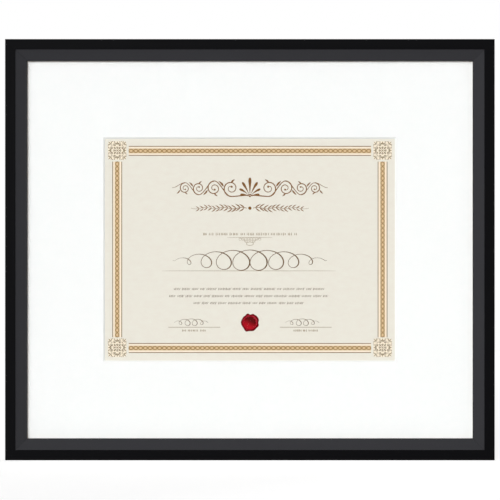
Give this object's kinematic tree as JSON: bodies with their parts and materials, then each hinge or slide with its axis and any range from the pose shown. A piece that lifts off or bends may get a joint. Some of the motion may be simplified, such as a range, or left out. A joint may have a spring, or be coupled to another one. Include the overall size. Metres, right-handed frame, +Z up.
{
  "type": "certificate frame",
  "caption": "Wall frame with a stepped, mitred moulding that holds a matted certificate under glass, closed behind by a board under turn buttons and hung by D-rings.",
  "frame": {"origin": "centre of the frame's overall box, rubber bumpers included", "axes": "+X to the right as seen from the front, +Z up as the frame hangs, the front faces -Y and the wall is behind at +Y"},
  "size_m": [0.4546, 0.0244, 0.3912],
  "materials": {
    "moulding": "satin black and charcoal lacquer on solid wood, bare wood behind",
    "nail_steel": "bare sheet steel",
    "clear_glass": "clear picture glass",
    "white_mat": "white conservation mat board, bevel cut",
    "document_paper": "cream parchment paper",
    "clear_film": "clear polyester film",
    "sealing_wax": "pressed red sealing wax",
    "foam_board": "white foam-centred mounting board",
    "hardboard": "smooth brown hardboard",
    "screw_steel": "yellow zinc plated",
    "button_steel": "bright zinc plated",
    "hanger_steel": "nickel plated",
    "bumper_rubber": "matt black rubber"
  },
  "bodies": {
    "frame": {"rail_top": "moulding", "rail_bottom": "moulding", "rail_left": "moulding", "rail_right": "moulding", "v_nails": "nail_steel", "glazing": "clear_glass", "mat_board": "white_mat", "certificate": "document_paper", "corner_pockets": "clear_film", "wax_seal": "sealing_wax", "mounting_board": "foam_board", "back_panel": "hardboard", "turn_button_screws": "screw_steel", "hanger_screws": "screw_steel", "hanger_strap_left": "hanger_steel", "hanger_strap_right": "hanger_steel", "bumper_left": "bumper_rubber", "bumper_right": "bumper_rubber"},
    "ring_left": {"hanger_ring_left": "hanger_steel"},
    "ring_right": {"hanger_ring_right": "hanger_steel"},
    "button_top_left": {"turn_button_top_left": "button_steel"},
    "button_top_right": {"turn_button_top_right": "button_steel"},
    "button_bottom_left": {"turn_button_bottom_left": "button_steel"},
    "button_bottom_right": {"turn_button_bottom_right": "button_steel"},
    "button_left_upper": {"turn_button_left_upper": "button_steel"},
    "button_left_lower": {"turn_button_left_lower": "button_steel"},
    "button_right_upper": {"turn_button_right_upper": "button_steel"},
    "button_right_lower": {"turn_button_right_lower": "button_steel"}
  },
  "joints": [
    {"name": "ring_left_swing", "type": "hinge", "parent": "frame", "child": "ring_left", "pos_m": [-0.21931, 0.00953, 0.12518], "axis": [-1, 0, 0], "range_deg": [0, 187]},
    {"name": "ring_right_swing", "type": "hinge", "parent": "frame", "child": "ring_right", "pos_m": [0.21931, 0.00953, 0.12518], "axis": [-1, 0, 0], "range_deg": [0, 187]},
    {"name": "button_top_left_turn", "type": "hinge", "parent": "frame", "child": "button_top_left", "pos_m": [-0.10979, 0.00785, 0.18829], "axis": [0, 1, 0], "continuous": true},
    {"name": "button_top_right_turn", "type": "hinge", "parent": "frame", "child": "button_top_right", "pos_m": [0.10979, 0.00785, 0.18829], "axis": [0, 1, 0], "continuous": true},
    {"name": "button_bottom_left_turn", "type": "hinge", "parent": "frame", "child": "button_bottom_left", "pos_m": [-0.10979, 0.00785, -0.18829], "axis": [0, 1, 0], "continuous": true},
    {"name": "button_bottom_right_turn", "type": "hinge", "parent": "frame", "child": "button_bottom_right", "pos_m": [0.10979, 0.00785, -0.18829], "axis": [0, 1, 0], "continuous": true},
    {"name": "button_left_upper_turn", "type": "hinge", "parent": "frame", "child": "button_left_upper", "pos_m": [-0.22004, 0.00785, 0.06099], "axis": [0, 1, 0], "continuous": true},
    {"name": "button_left_lower_turn", "type": "hinge", "parent": "frame", "child": "button_left_lower", "pos_m": [-0.22004, 0.00785, -0.06099], "axis": [0, 1, 0], "continuous": true},
    {"name": "button_right_upper_turn", "type": "hinge", "parent": "frame", "child": "button_right_upper", "pos_m": [0.22004, 0.00785, 0.06099], "axis": [0, 1, 0], "continuous": true},
    {"name": "button_right_lower_turn", "type": "hinge", "parent": "frame", "child": "button_right_lower", "pos_m": [0.22004, 0.00785, -0.06099], "axis": [0, 1, 0], "continuous": true}
  ]
}
